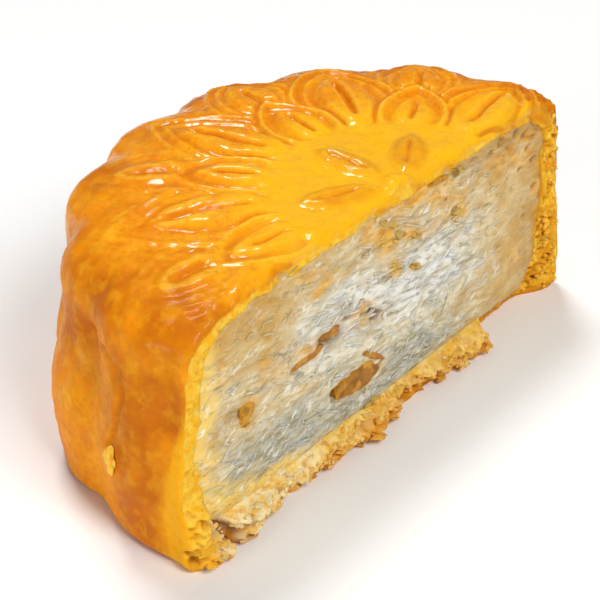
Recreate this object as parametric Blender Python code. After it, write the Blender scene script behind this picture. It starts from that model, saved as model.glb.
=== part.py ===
"""Half a coconut mooncake: a moulded golden crust round a pale coconut filling, cut upright down its middle.

It stands on its flat base with +Z up and the cut face towards -Y. The origin is at the bottom centre of its
bounding box. The shapes are worked out round the whole cake's axis, which lies in the cut, and are moved to
AXIS_PLACE at the end. Lengths are in metres and angles in radians.
"""

import math

import bpy
import numpy as np
from mathutils import Vector, noise
from mathutils.geometry import delaunay_2d_cdt

MM = 0.001

# The whole cake before it was cut
RADIUS = 38.2 * MM
HEIGHT = 30.6 * MM
SHOULDER_DROP = 11.0 * MM
SHOULDER_POWER = 5.6
WALL_BULGE = 0.8 * MM
SLUMP = 1.6 * MM
SLUMP_FROM = math.radians(95)
SLUMP_TO = math.radians(160)
LEAN = 2.0 * MM
LEAN_TO = math.radians(30)
BASE_EDGE = 1.6 * MM
AXIS_PLACE = (0.01 * MM, -17.975 * MM, 0)

# The crust's thickness over, beside and under the filling
TOP_CRUST = 1.5 * MM
WALL_CRUST = 3.3 * MM
RIGHT_CRUST = 3.6 * MM
BASE_CRUST = 3.6 * MM
FILLING_GAP = 0.3 * MM
FILLING_POWER = 5.0
FILLING_EDGE = 4.8 * MM

# The mould: scallops on the wall, and petals on the top laid over each other round a plain disc
LOBES = 16
LOBE_DEPTH = 1.6 * MM
NOTCH_SOFTNESS = 0.16
PETALS = 8
PETAL_TURN = math.radians(9)
BETWEEN_TURN = PETAL_TURN + math.pi / PETALS
DISC_SHARE = 0.42
DISC_LIFT = 0.45 * MM

# How finely the surfaces are divided
RIM_COLUMNS = 112
LINING_COLUMNS = 20

CRUST_COLOUR = (0.80, 0.36, 0.045, 1.0)
FILLING_COLOUR = (0.58, 0.54, 0.42, 1.0)


def smoothstep(low, high, value):
    """0 below low, 1 above high, and a smooth rise between them."""
    share = np.clip((value - low) / (high - low), 0, 1)
    return share * share * (3 - 2 * share)


def bump(value, centre, width):
    """A rounded ridge of height 1 at centre, fading out over width."""
    return np.exp(-(((value - centre) / width) ** 2))


def lobe(angle):
    """The wall's scallops: 1 on a lobe's crest and about 0 in the notch between two lobes."""
    wave = np.abs(np.cos(LOBES / 2 * (angle - PETAL_TURN)))
    return np.sqrt((wave**2 + NOTCH_SOFTNESS**2) / (1 + NOTCH_SOFTNESS**2))


def depth_in_petal(radius, angle, turn, base, tip, half_width, count=PETALS):
    """(distance inside a pointed petal's outline, place along its axis, distance beside its axis).

    count of them stand evenly round the cake, the first at turn. Each outline is two arcs that meet at
    the tip.
    """
    step = 2 * math.pi / count
    aside = (angle - turn + step / 2) % step - step / 2
    along = radius * np.cos(aside)
    beside = np.abs(radius * np.sin(aside))
    middle, reach = (base + tip) / 2, (tip - base) / 2
    arc = (reach**2 + half_width**2) / (2 * half_width)
    return arc - np.hypot(along - middle, beside + arc - half_width), along, beside


def laid_over(below, above, inside):
    """The height where one petal lies over what is below it, from the distance inside its outline."""
    share = smoothstep(-0.6 * MM, 0.6 * MM, inside)
    return below * (1 - share) + above * share


def outer_petals(radius, angle):
    """(height, distance inside) of the small petals near the rim."""
    inside, along, beside = depth_in_petal(
        radius, angle, BETWEEN_TURN, 0.50 * RADIUS, 0.95 * RADIUS, 0.150 * RADIUS
    )
    height = 0.55 * MM * bump(inside, 1.0 * MM, 0.9 * MM)
    height += 0.85 * MM * smoothstep(1.6 * MM, 3.6 * MM, inside)
    slit = bump(beside, 0, 0.7 * MM) * smoothstep(0.64 * RADIUS, 0.70 * RADIUS, along)
    height -= 0.90 * MM * slit * smoothstep(0.84 * RADIUS, 0.78 * RADIUS, along)
    return height, inside


def large_petals(radius, angle):
    """(height, distance inside) of the large petals, each with a double rim and a slit leaf within."""
    inside, along, beside = depth_in_petal(
        radius, angle, PETAL_TURN, 0.24 * RADIUS, 0.88 * RADIUS, 0.185 * RADIUS
    )
    height = 0.75 * MM * bump(inside, 1.0 * MM, 0.85 * MM)
    height += 0.45 * MM * bump(inside, 2.9 * MM, 0.7 * MM)
    height += 1.00 * MM * smoothstep(3.4 * MM, 5.0 * MM, inside)
    slit = bump(beside, 0, 0.75 * MM) * smoothstep(0.46 * RADIUS, 0.52 * RADIUS, along)
    height -= 1.30 * MM * slit * smoothstep(0.76 * RADIUS, 0.66 * RADIUS, along)
    return height, inside


def inner_leaves(radius, angle):
    """(height, distance inside) of the short leaves round the disc, which lie over the petals' feet."""
    inside, along, beside = depth_in_petal(
        radius, angle, BETWEEN_TURN, 0.26 * RADIUS, 0.69 * RADIUS, 0.125 * RADIUS
    )
    height = 0.70 * MM * bump(inside, 0.9 * MM, 0.8 * MM)
    height += 0.90 * MM * smoothstep(1.8 * MM, 3.4 * MM, inside)
    slit = bump(beside, 0, 0.6 * MM) * smoothstep(0.40 * RADIUS, 0.45 * RADIUS, along)
    height -= 0.80 * MM * slit * smoothstep(0.56 * RADIUS, 0.50 * RADIUS, along)
    return height, inside


def rosette(radius, angle):
    """The plain blossom on the disc: six pointed petals round a small boss."""
    inside, _, beside = depth_in_petal(
        radius, angle, math.radians(30), 0.07 * RADIUS, 0.34 * RADIUS, 0.062 * RADIUS, 6
    )
    height = 0.7 * MM * smoothstep(-0.2 * MM, 1.2 * MM, inside)
    return height + 0.8 * MM * smoothstep(2.8 * MM, 1.0 * MM, radius)


def relief(radius, angle):
    """How far the moulded pattern stands above the plain top, at this distance from the cake's axis."""
    height = 0.15 * MM * np.ones_like(radius)
    for layer in (outer_petals, large_petals, inner_leaves):
        above, inside = layer(radius, angle)
        height = laid_over(height, above, inside)
    disc_inside = DISC_SHARE * RADIUS - radius
    disc = DISC_LIFT + rosette(radius, angle) * smoothstep(0.4 * MM, 2.0 * MM, disc_inside)
    return laid_over(height, disc, disc_inside)


def section(radius, top, drop, power, bulge, base, edge, counts):
    """Half the cake's upright section as (radius, height) points, from the top's middle to the base's edge.

    counts are the steps across the disc, across the petals, over the shoulder, down the wall and round the
    lower edge.
    """
    disc, petals, shoulder, wall, round_edge = counts
    start = math.asin(0.87 ** (power / 2))
    shares = np.concatenate(
        [
            np.linspace(0, DISC_SHARE, disc, endpoint=False),
            np.linspace(DISC_SHARE, 0.87, petals, endpoint=False),
            np.sin(np.linspace(start, math.pi / 2, shoulder, endpoint=False)) ** (2 / power),
        ]
    )
    points = [(s * radius, top - drop + drop * (1 - s**power) ** (1 / power)) for s in shares]
    for down in np.linspace(0, 1, wall, endpoint=False):
        height = top - drop - down * (top - drop - base - edge)
        points.append((radius + bulge * math.sin(math.pi * down), height))
    for turn in np.linspace(0, math.pi / 2, round_edge + 1):
        points.append(
            (radius - edge * (1 - math.cos(turn)), base + edge * (1 - math.sin(turn)))
        )
    return points


def outer_place(radius, height, angle):
    """A vertex of the crust's outside: scalloped wall and moulded top."""
    to_rim = smoothstep(0.62, 1.0, radius / RADIUS)
    off_base = smoothstep(-1 * MM, 6 * MM, height)
    notch = (1 - lobe(angle)) * to_rim * (0.55 + 0.45 * off_base)
    top_share = smoothstep(HEIGHT - SHOULDER_DROP, HEIGHT - 0.35 * SHOULDER_DROP, height)
    slumped = smoothstep(SLUMP_FROM, SLUMP_FROM + 0.5, angle) * smoothstep(SLUMP_TO, SLUMP_TO - 0.2, angle)
    slumped = slumped * to_rim * smoothstep(22 * MM, 8 * MM, height)
    leaning = smoothstep(LEAN_TO, 0, angle) * to_rim * smoothstep(3 * MM, 18 * MM, height)
    reach = radius - LOBE_DEPTH * notch + SLUMP * slumped - LEAN * leaning
    lifted = height + relief(radius, angle) * top_share
    return np.stack([reach * np.cos(angle), reach * np.sin(angle), lifted], axis=-1)


def inner_place(radius, height, angle):
    """A vertex of the crust's inside or of the filling's outside, which follow the scallops faintly."""
    notch = (1 - lobe(angle)) * smoothstep(0.7, 1.0, radius / (RADIUS - WALL_CRUST))
    thicker = smoothstep(math.radians(40), 0, angle) * smoothstep(0.7, 1.0, radius / (RADIUS - WALL_CRUST))
    reach = radius - 0.35 * LOBE_DEPTH * notch - RIGHT_CRUST * thicker
    return np.stack([reach * np.cos(angle), reach * np.sin(angle), height], axis=-1)


def within(points, rings):
    """Whether each flat point is inside the first ring and outside the others."""
    inside = np.zeros(len(points), dtype=bool)
    for ring in rings:
        for (ax, ay), (bx, by) in zip(ring, np.roll(ring, -1, axis=0)):
            if ay == by:
                continue
            crossing = ax + (points[:, 1] - ay) * (bx - ax) / (by - ay)
            level = (ay > points[:, 1]) != (by > points[:, 1])
            inside ^= level & (points[:, 0] < crossing)
    return inside


def distance_to(points, ring):
    """The distance from each flat point to a ring's line."""
    nearest = np.full(len(points), np.inf)
    for a, b in zip(ring, np.roll(ring, -1, axis=0)):
        along = np.clip((points - a) @ (b - a) / ((b - a) @ (b - a)), 0, 1)
        offset = points - a - along[:, None] * (b - a)
        nearest = np.minimum(nearest, np.linalg.norm(offset, axis=1))
    return nearest


def tiled(rings, spacing, margin):
    """(extra points, triangles) that fill a flat region, given its outline and then any hole's outline.

    The extra points are about spacing apart and keep margin off the outlines. The triangles run
    anticlockwise, and number the rings' points in order and then the extra points.
    """
    draw = np.random.default_rng(7)
    rings = [np.round(ring, 9) for ring in rings]
    edge = np.concatenate(rings)
    low, high = edge.min(axis=0), edge.max(axis=0)
    extra = []
    for row, height in enumerate(np.arange(low[1], high[1], spacing * 0.87)):
        across = np.arange(low[0] + spacing / 2 * (row % 2), high[0], spacing)
        extra.append(np.stack([across, np.full(len(across), height)], axis=1))
    extra = np.concatenate(extra)
    extra += draw.uniform(-0.22, 0.22, extra.shape) * spacing
    extra = extra[within(extra, rings)]
    for ring in rings:
        extra = extra[distance_to(extra, ring) > margin]
    lines, start = [], 0
    for ring in rings:
        lines += [(start + i, start + (i + 1) % len(ring)) for i in range(len(ring))]
        start += len(ring)
    points = np.concatenate([edge, extra])
    spots = [Vector(point) for point in points / MM]
    _, _, triangles, sources, _, _ = delaunay_2d_cdt(spots, lines, [], 0, 1e-6)
    triangles = np.array([[sources[i][0] for i in triangle] for triangle in triangles])
    return extra, triangles[within(points[triangles].mean(axis=1), rings)]


class Shell:
    """A half-turned surface over a flat floor: vertices, triangles, and the loop where the cut opens it."""

    def __init__(self, points, columns, place, floor_spacing):
        """points are a section's, columns the column count of each row, and place(radius, height, angle)
        makes a vertex. floor_spacing is the distance between the floor's points along the cut."""
        self.vertices, self.faces, rows = [], [], []
        for (radius, height), count in zip(points, columns):
            angles = np.linspace(0, math.pi, count + 1) if count else np.array([math.pi / 2])
            ring = place(np.full(len(angles), radius), np.full(len(angles), height), angles)
            rows.append(self.added(ring))
        for upper, lower in zip(rows, rows[1:]):
            self.stitch(upper, lower)
        edge = rows[-1]
        right, left = self.vertices[edge[0]], self.vertices[edge[-1]]
        count = round((right[0] - left[0]) / floor_spacing)
        cut_line = self.added(np.linspace(right, left, count + 1)[1:-1])
        ring = np.array([self.vertices[i] for i in edge + cut_line[::-1]])
        extra, triangles = tiled([ring[:, :2]], 3 * floor_spacing, 2.5 * floor_spacing)
        numbers = edge + cut_line[::-1]
        numbers += self.added([(x, y, right[2]) for x, y in extra])
        self.faces += [tuple(numbers[i] for i in triangle[::-1]) for triangle in triangles]
        self.loop = [row[0] for row in rows] + cut_line + [row[-1] for row in rows[:0:-1]]

    def added(self, points):
        """Adds these vertices and returns their numbers."""
        first = len(self.vertices)
        self.vertices += [tuple(point) for point in points]
        return list(range(first, len(self.vertices)))

    def stitch(self, upper, lower):
        """Joins two rows, where one may be a single pole or may have half the other's columns."""
        long, short = (upper, lower) if len(upper) >= len(lower) else (lower, upper)
        faces = []
        if len(short) == 1:
            faces = [(a, b, short[0]) for a, b in zip(long, long[1:])]
        elif len(short) == len(long):
            for a, b, c, d in zip(long, long[1:], short, short[1:]):
                faces += [(a, b, c), (b, d, c)]
        else:
            for i, (c, d) in enumerate(zip(short, short[1:])):
                a, b, e = long[2 * i : 2 * i + 3]
                faces += [(a, b, c), (b, d, c), (b, e, d)]
        self.faces += faces if long is lower else [face[::-1] for face in faces]


def outside_shell():
    """The crust's outside."""
    counts = (10, 22, 5, 6, 2)
    outline = section(
        RADIUS, HEIGHT, SHOULDER_DROP, SHOULDER_POWER, WALL_BULGE, 0, BASE_EDGE, counts
    )
    columns = [0] + [RIM_COLUMNS // 4] * 2 + [RIM_COLUMNS // 2] * 7
    columns += [RIM_COLUMNS] * (len(outline) - len(columns))
    return Shell(outline, columns, outer_place, 2.1 * MM)


def lining_shell(gap):
    """The surface between crust and filling, this far inside the crust's own."""
    counts = (3, 4, 4, 5, 4)
    outline = section(
        RADIUS - WALL_CRUST - gap,
        HEIGHT - TOP_CRUST - gap,
        SHOULDER_DROP - 1.5 * MM,
        FILLING_POWER,
        WALL_BULGE,
        BASE_CRUST + gap,
        FILLING_EDGE,
        counts,
    )
    columns = [0] + [LINING_COLUMNS // 2] * 2 + [LINING_COLUMNS] * (len(outline) - 3)
    return Shell(outline, columns, inner_place, 5 * MM)


def lumps(x, z, size, seed):
    """Smooth noise from about -1 to 1 over the cut face, with lumps of about this size."""
    return 1.6 * noise.noise(Vector((x / size, seed, z / size)))


def crust_offset(x, z, depth):
    """How far the crust's cut surface stands out of (below 0) or back from the cut plane.

    depth is 0 at the crust's outside and 1 at the filling. The base's torn flakes reach furthest out, and
    the base is broken away near its right end.
    """
    middle = math.sin(math.pi * depth)
    crumb = 0.35 * MM * lumps(x, z, 1.9 * MM, 3.1) * (0.4 + middle)
    crumbs_top = BASE_CRUST + 4 * MM * smoothstep(20 * MM, 33 * MM, abs(x))
    base = float(smoothstep(crumbs_top + 1.2 * MM, crumbs_top - 1.0 * MM, z))
    flakes = max(0.0, 0.5 + lumps(x, 0, 4.5 * MM, 8.4)) + max(0.0, lumps(x, z, 2.4 * MM, 5.7))
    chipped = float(smoothstep(17 * MM, 21 * MM, x) * smoothstep(36 * MM, 30 * MM, x))
    flakes *= base * (1 - chipped) * 1.7 * MM * (0.35 + 0.65 * middle)
    return crumb - flakes + base * chipped * 2.4 * MM


def crust_mesh():
    """Vertices and faces of the crust: its outside, its inside and the torn surface between them."""
    outside, lining = outside_shell(), lining_shell(0)
    shift = len(outside.vertices)
    vertices = outside.vertices + lining.vertices
    faces = outside.faces + [tuple(shift + i for i in face[::-1]) for face in lining.faces]
    numbers = outside.loop + [shift + i for i in lining.loop]
    spots = np.array([(vertices[i][0], vertices[i][2]) for i in numbers])
    rings = [spots[: len(outside.loop)], spots[len(outside.loop) :]]
    extra, triangles = tiled(rings, 1.5 * MM, 0.6 * MM)
    numbers += range(len(vertices), len(vertices) + len(extra))
    vertices += [(x, 0, z) for x, z in extra]
    spots = np.concatenate([spots, extra])
    to_outside, to_lining = distance_to(spots, rings[0]), distance_to(spots, rings[1])
    for number, depth in zip(numbers, to_outside / (to_outside + to_lining)):
        x, y, z = vertices[number]
        vertices[number] = (x, y + crust_offset(x, z, depth), z)
    faces += [tuple(numbers[i] for i in triangle) for triangle in triangles]
    return vertices, faces


def filling_mesh():
    """Vertices and faces of the filling: a plug that fits the crust, with an uneven, fibrous cut face."""
    plug = lining_shell(FILLING_GAP)
    vertices, numbers = list(plug.vertices), list(plug.loop)
    ring = np.array([(vertices[i][0], vertices[i][2]) for i in numbers])
    extra, triangles = tiled([ring], 2.2 * MM, 1.0 * MM)
    numbers += range(len(vertices), len(vertices) + len(extra))
    for x, z in extra:
        coarse, fine = lumps(x, 1.8 * z, 6 * MM, 1.7), lumps(x, 1.6 * z, 2.4 * MM, 6.3)
        vertices.append((x, (-0.35 + 0.4 * coarse + 0.3 * fine) * MM, z))
    return vertices, plug.faces + [tuple(numbers[i] for i in triangle) for triangle in triangles]


def make_material(name, colour, roughness, subsurface):
    """A plain material: colour, roughness and how far light enters."""
    material = bpy.data.materials.new(name)
    material.use_nodes = True
    shader = material.node_tree.nodes["Principled BSDF"]
    shader.inputs["Base Color"].default_value = colour
    shader.inputs["Roughness"].default_value = roughness
    shader.inputs["Metallic"].default_value = 0.0
    shader.inputs["Subsurface Weight"].default_value = subsurface
    shader.inputs["Subsurface Scale"].default_value = 2 * MM
    material.diffuse_color = colour
    return material


def make_object(name, mesh_data, material):
    """A smooth-shaded object from (vertices, faces)."""
    vertices, faces = mesh_data
    mesh = bpy.data.meshes.new(name)
    mesh.from_pydata(np.array(vertices) + AXIS_PLACE, [], faces)
    mesh.materials.append(material)
    mesh.shade_smooth()
    mesh.set_sharp_from_angle(angle=math.radians(50))
    bpy.context.scene.collection.objects.link(bpy.data.objects.new(name, mesh))


def main():
    for old in list(bpy.data.objects):
        bpy.data.objects.remove(old)
    make_object("crust", crust_mesh(), make_material("baked_crust", CRUST_COLOUR, 0.38, 0.1))
    make_object(
        "coconut_filling",
        filling_mesh(),
        make_material("coconut_paste", FILLING_COLOUR, 0.5, 0.5),
    )


main()
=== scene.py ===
"""The looks of half a coconut mooncake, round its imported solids.

Fine meshes replace both solids. They keep the solids' sizes and their larger relief, and add what is too
fine for them: the mould's crisp ridges, the torn crumb, the coconut's shreds and the candied bits. Lengths
are in millimetres until a mesh is made, and are counted from the whole cake's axis, which lies in the cut.
"""

import functools
import math

import bmesh
import bpy
import numpy as np
from mathutils import Matrix, Vector, noise
from mathutils.geometry import delaunay_2d_cdt


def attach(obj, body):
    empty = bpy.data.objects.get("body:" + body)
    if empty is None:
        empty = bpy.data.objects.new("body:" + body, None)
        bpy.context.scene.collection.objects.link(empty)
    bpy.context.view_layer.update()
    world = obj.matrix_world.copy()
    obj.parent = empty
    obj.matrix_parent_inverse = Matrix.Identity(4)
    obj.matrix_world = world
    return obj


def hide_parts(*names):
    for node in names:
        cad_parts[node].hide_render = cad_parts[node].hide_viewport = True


MM = 0.001
# Where the whole cake's axis stands in the frame
AXIS_PLACE = np.array([0.01, -17.975, 0.0])

# The whole cake before it was cut, as in the solids
RADIUS = 38.2
HEIGHT = 30.6
SHOULDER_DROP = 11.0
SHOULDER_POWER = 5.6
WALL_BULGE = 0.8
SLUMP = 1.6
SLUMP_FROM = math.radians(95)
SLUMP_TO = math.radians(160)
LEAN = 2.0
LEAN_TO = math.radians(30)
BASE_EDGE = 1.6
TOP_CRUST = 1.5
WALL_CRUST = 3.3
RIGHT_CRUST = 3.6
BASE_CRUST = 3.6
FILLING_POWER = 5.0
FILLING_EDGE = 4.8
LOBES = 16
LOBE_DEPTH = 1.6
NOTCH_SOFTNESS = 0.16
PETALS = 8
PETAL_TURN = math.radians(9)
BETWEEN_TURN = PETAL_TURN + math.pi / PETALS
DISC_SHARE = 0.42
DISC_LIFT = 0.45
BLOSSOM_PETALS = 6
BLOSSOM_TURN = math.radians(30)

# The meshes' fineness. Past SHOULDER_SHARE of the radius, rows follow the shoulder's turn.
RIM_COLUMNS = 336
LINING_COLUMNS = 24
SHOULDER_SHARE = 0.87
UNDERSIDE_SPACING, UNDERSIDE_MARGIN = 6.0, 4.0
SHRED_RINGS, SHRED_SIDES = 7, 5

# How far loose pieces stay above the floor
FLOOR_GAP = 0.02

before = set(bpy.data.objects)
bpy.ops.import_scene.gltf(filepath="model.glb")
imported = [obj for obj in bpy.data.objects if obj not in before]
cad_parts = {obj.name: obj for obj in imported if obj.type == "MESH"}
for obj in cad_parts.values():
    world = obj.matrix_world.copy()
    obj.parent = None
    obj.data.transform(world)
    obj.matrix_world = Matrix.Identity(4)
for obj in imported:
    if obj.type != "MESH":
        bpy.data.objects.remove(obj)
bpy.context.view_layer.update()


# Shared arithmetic


def ramp(low, high, value):
    """0 below low, 1 above high, and a smooth rise between them."""
    share = np.clip((value - low) / (high - low), 0, 1)
    return share * share * (3 - 2 * share)


def bump(value, centre, width):
    """A rounded ridge of height 1 at centre, fading out over width."""
    return np.exp(-(((value - centre) / width) ** 2))


# The slopes that the noise picks from: the middles of a cube's edges
GRADIENTS = np.array(
    [[x, y, z] for x in (-1, 0, 1) for y in (-1, 0, 1) for z in (-1, 0, 1) if abs(x) + abs(y) + abs(z) == 2],
    dtype=float,
)


def points_of(*axes):
    """Points as rows, from one array for each axis."""
    return np.stack(axes, axis=1)


def grain(points, size, seed):
    """Smooth seeded noise from about -1 to 1 at these points. size is the lumps' size, or one an axis."""
    spots = np.asarray(points, dtype=float) / size + seed * 7.31
    cell = np.floor(spots).astype(np.int64)
    part = spots - cell
    fade = part**3 * (part * (part * 6 - 15) + 10)
    total = np.zeros(len(spots))
    for corner in np.ndindex(2, 2, 2):
        at = cell + corner
        mixed = (at[:, 0] * 73856093) ^ (at[:, 1] * 19349663) ^ (at[:, 2] * 83492791) ^ (seed * 2654435761)
        mixed = ((mixed ^ (mixed >> 13)) * 1274126177) & 0x7FFFFFFF
        slope = GRADIENTS[(mixed ^ (mixed >> 15)) % 12]
        weight = np.prod(np.where(corner, fade, 1 - fade), axis=1)
        total += weight * ((part - corner) * slope).sum(axis=1)
    return total * 1.25


def layered(points, size, seed, layers=4):
    """Noise of several sizes, each half the last."""
    size = np.asarray(size, dtype=float)
    return sum(grain(points, size / 2**n, seed + n) / 2**n for n in range(layers))


def lumps(x, z, size, seed):
    """The solids' own noise over the cut face."""
    found = [noise.noise(Vector((a / size, seed, b / size))) for a, b in zip(x, z)]
    return 1.6 * np.array(found)


# The mould's pattern


def lobe(angle):
    """The wall's scallops: 1 on a lobe's crest and about 0 in the notch between two lobes."""
    wave = np.abs(np.cos(LOBES / 2 * (angle - PETAL_TURN)))
    return np.sqrt((wave**2 + NOTCH_SOFTNESS**2) / (1 + NOTCH_SOFTNESS**2))


def depth_in_petal(radius, angle, turn, base, tip, half_width, count=PETALS):
    """(distance inside a pointed petal's outline, place along its axis, distance beside its axis)."""
    step = 2 * math.pi / count
    aside = (angle - turn + step / 2) % step - step / 2
    along = radius * np.cos(aside)
    beside = np.abs(radius * np.sin(aside))
    middle, reach = (base + tip) / 2, (tip - base) / 2
    arc = (reach**2 + half_width**2) / (2 * half_width)
    return arc - np.hypot(along - middle, beside + arc - half_width), along, beside


def laid_over(below, above, inside):
    """The height where one petal lies over what is below it, from the distance inside its outline."""
    share = ramp(-0.3, 0.35, inside)
    return below * (1 - share) + above * share


# The rings of petals, from the lowest up. The outline and the slit's ends are shares of RADIUS.
PETAL_RINGS = (
    # echoes' strength, turn, (base, tip, half width), ridges as (height, distance inside the outline),
    # (middle's height, where it begins, is full), (slit's depth, width), where the slit opens, and closes
    (1.0, BETWEEN_TURN, (0.50, 0.975, 0.160), ((0.55, 0.8), (0.50, 2.2)),
     (0.80, 2.7, 4.0), (1.0, 0.42), (0.64, 0.70), (0.84, 0.78)),
    (0.8, PETAL_TURN, (0.24, 0.90, 0.185), ((0.80, 0.85), (0.60, 2.5)),
     (1.05, 3.2, 4.7), (1.4, 0.45), (0.44, 0.52), (0.78, 0.68)),
    (0.0, BETWEEN_TURN, (0.26, 0.70, 0.125), ((0.80, 0.8),),
     (0.95, 1.9, 3.2), (0.9, 0.4), (0.40, 0.45), (0.58, 0.52)),
)


def petal_ring(radius, angle, turn, outline, ridges, middle, slit, opens, closes):
    """(height of one ring of petals, distance inside their outlines)."""
    inside, along, beside = depth_in_petal(radius, angle, turn, *(share * RADIUS for share in outline))
    height = sum(tall * bump(inside, place, 0.5) for tall, place in ridges)
    height += middle[0] * ramp(middle[1], middle[2], inside)
    cut = bump(beside, 0, slit[1]) * ramp(opens[0] * RADIUS, opens[1] * RADIUS, along)
    return height - slit[0] * cut * ramp(closes[0] * RADIUS, closes[1] * RADIUS, along), inside


def blossom_petal(radius, angle):
    """depth_in_petal for the blossom on the disc."""
    outline = (0.07 * RADIUS, 0.34 * RADIUS, 0.062 * RADIUS)
    return depth_in_petal(radius, angle, BLOSSOM_TURN, *outline, BLOSSOM_PETALS)


def rosette(radius, angle):
    """The plain blossom on the disc: pointed petals round a small boss."""
    inside, along, beside = blossom_petal(radius, angle)
    height = 0.7 * ramp(-0.2, 1.2, inside)
    vein = 0.45 * bump(beside, 0, 0.35) * ramp(0.12, 0.16, along / RADIUS)
    height -= vein * ramp(1.2, 1.7, inside)
    return height + 0.8 * ramp(2.8, 1.0, radius)


def echoes(inside):
    """Faint ridges that repeat a petal's outline outside it."""
    return 0.20 * bump(inside, -1.2, 0.5) + 0.12 * bump(inside, -2.6, 0.55)


def relief(radius, angle):
    """How far the moulded pattern stands above the plain top."""
    height = 0.15 * np.ones_like(radius)
    for echo, *ring in PETAL_RINGS:
        above, inside = petal_ring(radius, angle, *ring)
        height = laid_over(height + echo * echoes(inside), above, inside)
    disc_inside = DISC_SHARE * RADIUS - radius
    disc = DISC_LIFT + rosette(radius, angle) * ramp(0.4, 2.0, disc_inside)
    share = ramp(-1.0, 1.4, disc_inside)
    return height * (1 - share) + disc * share


# Surfaces


def section(radius, top, drop, power, bulge, base, edge, counts):
    """Half the cake's upright section as (radius, height) rows, from the top's middle to the base's edge."""
    disc, petals, shoulder, wall, round_edge = counts
    start = math.asin(SHOULDER_SHARE ** (power / 2))
    shares = np.concatenate(
        [
            np.linspace(0, DISC_SHARE, disc, endpoint=False),
            np.linspace(DISC_SHARE, SHOULDER_SHARE, petals, endpoint=False),
            np.sin(np.linspace(start, math.pi / 2, shoulder, endpoint=False)) ** (2 / power),
        ]
    )
    points = [(s * radius, top - drop + drop * (1 - s**power) ** (1 / power)) for s in shares]
    for down in np.linspace(0, 1, wall, endpoint=False):
        height = top - drop - down * (top - drop - base - edge)
        points.append((radius + bulge * math.sin(math.pi * down), height))
    for turn in np.linspace(0, math.pi / 2, round_edge + 1):
        points.append((radius - edge * (1 - math.cos(turn)), base + edge * (1 - math.sin(turn))))
    return np.array(points)


def section_normals(points):
    """The outward direction (along the radius, up) at each row of a section."""
    run = np.gradient(points, axis=0)
    out = points_of(-run[:, 1], run[:, 0])
    return out / np.linalg.norm(out, axis=1, keepdims=True)


def within(points, rings):
    """Whether each flat point is inside the first ring and outside the others."""
    inside = np.zeros(len(points), dtype=bool)
    for ring in rings:
        for (ax, ay), (bx, by) in zip(ring, np.roll(ring, -1, axis=0)):
            if ay == by:
                continue
            crossing = ax + (points[:, 1] - ay) * (bx - ax) / (by - ay)
            inside ^= ((ay > points[:, 1]) != (by > points[:, 1])) & (points[:, 0] < crossing)
    return inside


def distance_to(points, ring):
    """The distance from each flat point to a ring's line."""
    nearest = np.full(len(points), np.inf)
    for a, b in zip(ring, np.roll(ring, -1, axis=0)):
        along = np.clip((points - a) @ (b - a) / ((b - a) @ (b - a)), 0, 1)
        offset = points - a - along[:, None] * (b - a)
        nearest = np.minimum(nearest, np.einsum("ij,ij->i", offset, offset))
    return np.sqrt(nearest)


def tiled(rings, spacing, margin):
    """(extra points, triangles) that fill a flat region, given its outline and then any hole's outline."""
    draw = np.random.default_rng(7)
    rings = [np.round(ring, 6) for ring in rings]
    edge = np.concatenate(rings)
    low, high = edge.min(axis=0), edge.max(axis=0)
    extra = []
    for row, height in enumerate(np.arange(low[1], high[1], spacing * 0.87)):
        across = np.arange(low[0] + spacing / 2 * (row % 2), high[0], spacing)
        extra.append(points_of(across, np.full(len(across), height)))
    extra = np.concatenate(extra)
    extra += draw.uniform(-0.22, 0.22, extra.shape) * spacing
    extra = extra[within(extra, rings)]
    for ring in rings:
        extra = extra[distance_to(extra, ring) > margin]
    lines, start = [], 0
    for ring in rings:
        lines += [(start + i, start + (i + 1) % len(ring)) for i in range(len(ring))]
        start += len(ring)
    points = np.concatenate([edge, extra])
    _, _, triangles, sources, _, _ = delaunay_2d_cdt([Vector(p) for p in points], lines, [], 0, 1e-6)
    triangles = np.array([[sources[i][0] for i in triangle] for triangle in triangles])
    return extra, triangles[within(points[triangles].mean(axis=1), rings)]


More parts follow.
